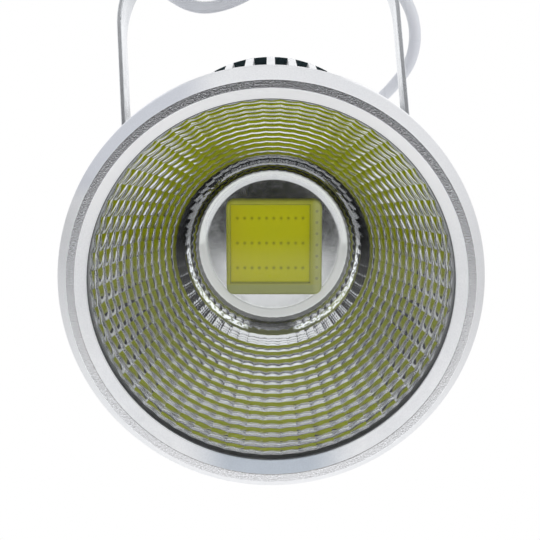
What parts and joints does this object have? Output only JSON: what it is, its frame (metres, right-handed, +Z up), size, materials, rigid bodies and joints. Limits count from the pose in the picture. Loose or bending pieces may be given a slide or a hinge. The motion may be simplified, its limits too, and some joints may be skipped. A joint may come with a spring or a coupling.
{
  "type": "track spotlight",
  "caption": "Cylindrical finned LED track spotlight with a faceted reflector, held in a U-shaped yoke that tilts and pans under a track adapter.",
  "frame": {"origin": "centre of the adapter's seat face, where it lies against the track, on the pan axis", "axes": "+Z up, out of the seat into the track; +X along the track and along the tilt axis; -Y is the side the lamp faces at rest"},
  "size_m": [0.124, 0.2644, 0.2511],
  "materials": {
    "bezel_aluminium": "blasted and clear anodised",
    "mirror_aluminium": "bright anodised, faceted",
    "mirror_plate": "mirror polished",
    "silver_aluminium": "silver, fine satin texture",
    "yoke_steel": "satin plated strip",
    "lens_glass": "clear, polished",
    "clear_silicone": "translucent grey silicone",
    "black_rubber": "matte",
    "phosphor": "yellow-green phosphor",
    "gel": "clear silicone gel",
    "grey_pad": "matte",
    "steel": "zinc plated",
    "dark_steel": "black oxide",
    "white_plastic": "moulded",
    "green_board": "solder resist",
    "ferrite": "matte",
    "capacitor_sleeve": "shrink sleeve",
    "black_plastic": "moulded epoxy",
    "red_wire": "insulated wire",
    "grey_plastic": "moulded nylon",
    "nylon": "natural nylon",
    "adapter_plastic": "light grey, fine texture",
    "brass_contact": "bright",
    "cable_jacket": "grey-white jacket"
  },
  "bodies": {
    "adapter": {"adapter_housing": "adapter_plastic", "adapter_cover": "adapter_plastic", "adapter_screws": "steel", "terminal_block": "white_plastic", "cord_grip": "grey_plastic", "swivel_collar": "silver_aluminium", "swivel_stem": "steel", "stem_nut": "steel", "pan_nut": "steel", "pan_wave_washer": "steel", "pan_friction_washer": "nylon", "supply_cable": "cable_jacket"},
    "yoke": {"yoke_bracket": "yoke_steel", "tilt_friction_washers": "nylon"},
    "head": {"cover_seal": "black_rubber", "driver_board": "green_board", "driver_capacitors": "capacitor_sleeve", "driver_choke": "ferrite", "driver_sleeve": "white_plastic", "driver_switches": "black_plastic", "driver_transformer": "ferrite", "front_bezel": "bezel_aluminium", "front_gasket": "clear_silicone", "front_housing": "silver_aluminium", "gland_body": "grey_plastic", "gland_cap": "grey_plastic", "gland_nut": "grey_plastic", "gland_seal": "black_rubber", "glass_lens": "lens_glass", "heat_sink": "silver_aluminium", "housing_screws": "dark_steel", "led_gel": "gel", "led_leads": "red_wire", "led_phosphor": "phosphor", "led_plate": "mirror_plate", "led_screws": "steel", "rear_cover": "silver_aluminium", "rear_cover_screws": "steel", "rear_gasket": "black_rubber", "reflector": "mirror_aluminium", "thermal_pad": "grey_pad", "tilt_screws": "steel", "tilt_spring_washers": "steel", "tilt_washers": "steel"},
    "lock": {"lock_post": "adapter_plastic", "lock_latch": "steel", "lock_lever": "grey_plastic"},
    "contact": {"contact_post": "adapter_plastic", "contact_blades": "brass_contact", "contact_lever": "grey_plastic"}
  },
  "joints": [
    {"name": "pan", "type": "hinge", "parent": "adapter", "child": "yoke", "pos_m": [0, 0, -0.035], "axis": [0, 0, 1], "range_deg": [-175, 175], "deforming": ["supply_cable"]},
    {"name": "tilt", "type": "hinge", "parent": "yoke", "child": "head", "pos_m": [0, 0, -0.136], "axis": [1, 0, 0], "range_deg": [-34, 66], "deforming": ["supply_cable"]},
    {"name": "lock_turn", "type": "hinge", "parent": "adapter", "child": "lock", "pos_m": [0.036, 0, 0], "axis": [0, 0, 1], "range_deg": [0, 90]},
    {"name": "contact_turn", "type": "hinge", "parent": "adapter", "child": "contact", "pos_m": [-0.036, 0, 0], "axis": [0, 0, 1], "range_deg": [0, 90]}
  ]
}
